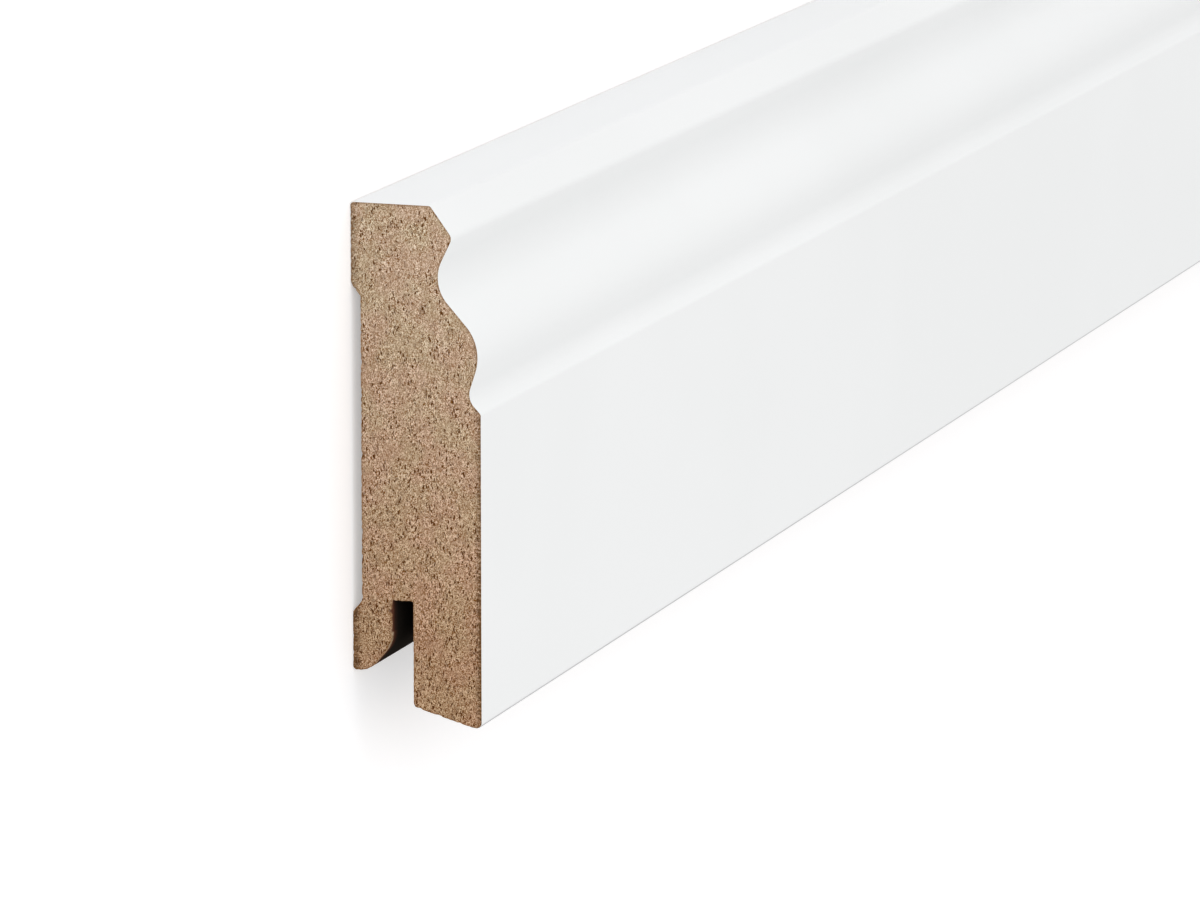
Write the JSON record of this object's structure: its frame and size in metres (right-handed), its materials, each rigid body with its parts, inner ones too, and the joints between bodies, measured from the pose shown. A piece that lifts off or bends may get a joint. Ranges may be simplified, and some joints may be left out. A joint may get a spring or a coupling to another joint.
{
  "type": "skirting board length",
  "caption": "Length of white faced skirting board with an ogee moulded top, a relieved back and a clip slot in its underside.",
  "frame": {"origin": "on the plane of the wall behind the board, halfway along its length and halfway between its floor edge and its top edge", "axes": "+X along the length, away from the cut end that the picture shows; +Y from the floor edge to the top edge; +Z out of the moulded face, away from the wall. As stored the board lies on its back, so the wall plane is the floor that it lies on"},
  "size_m": [2.4, 0.07, 0.0182],
  "materials": {
    "white_finish": "smooth white foil or lacquer on MDF, satin",
    "raw_mdf": "bare sawn and milled MDF, matt"
  },
  "bodies": {
    "root": {"skirting_board": "white_finish"}
  },
  "joints": []
}
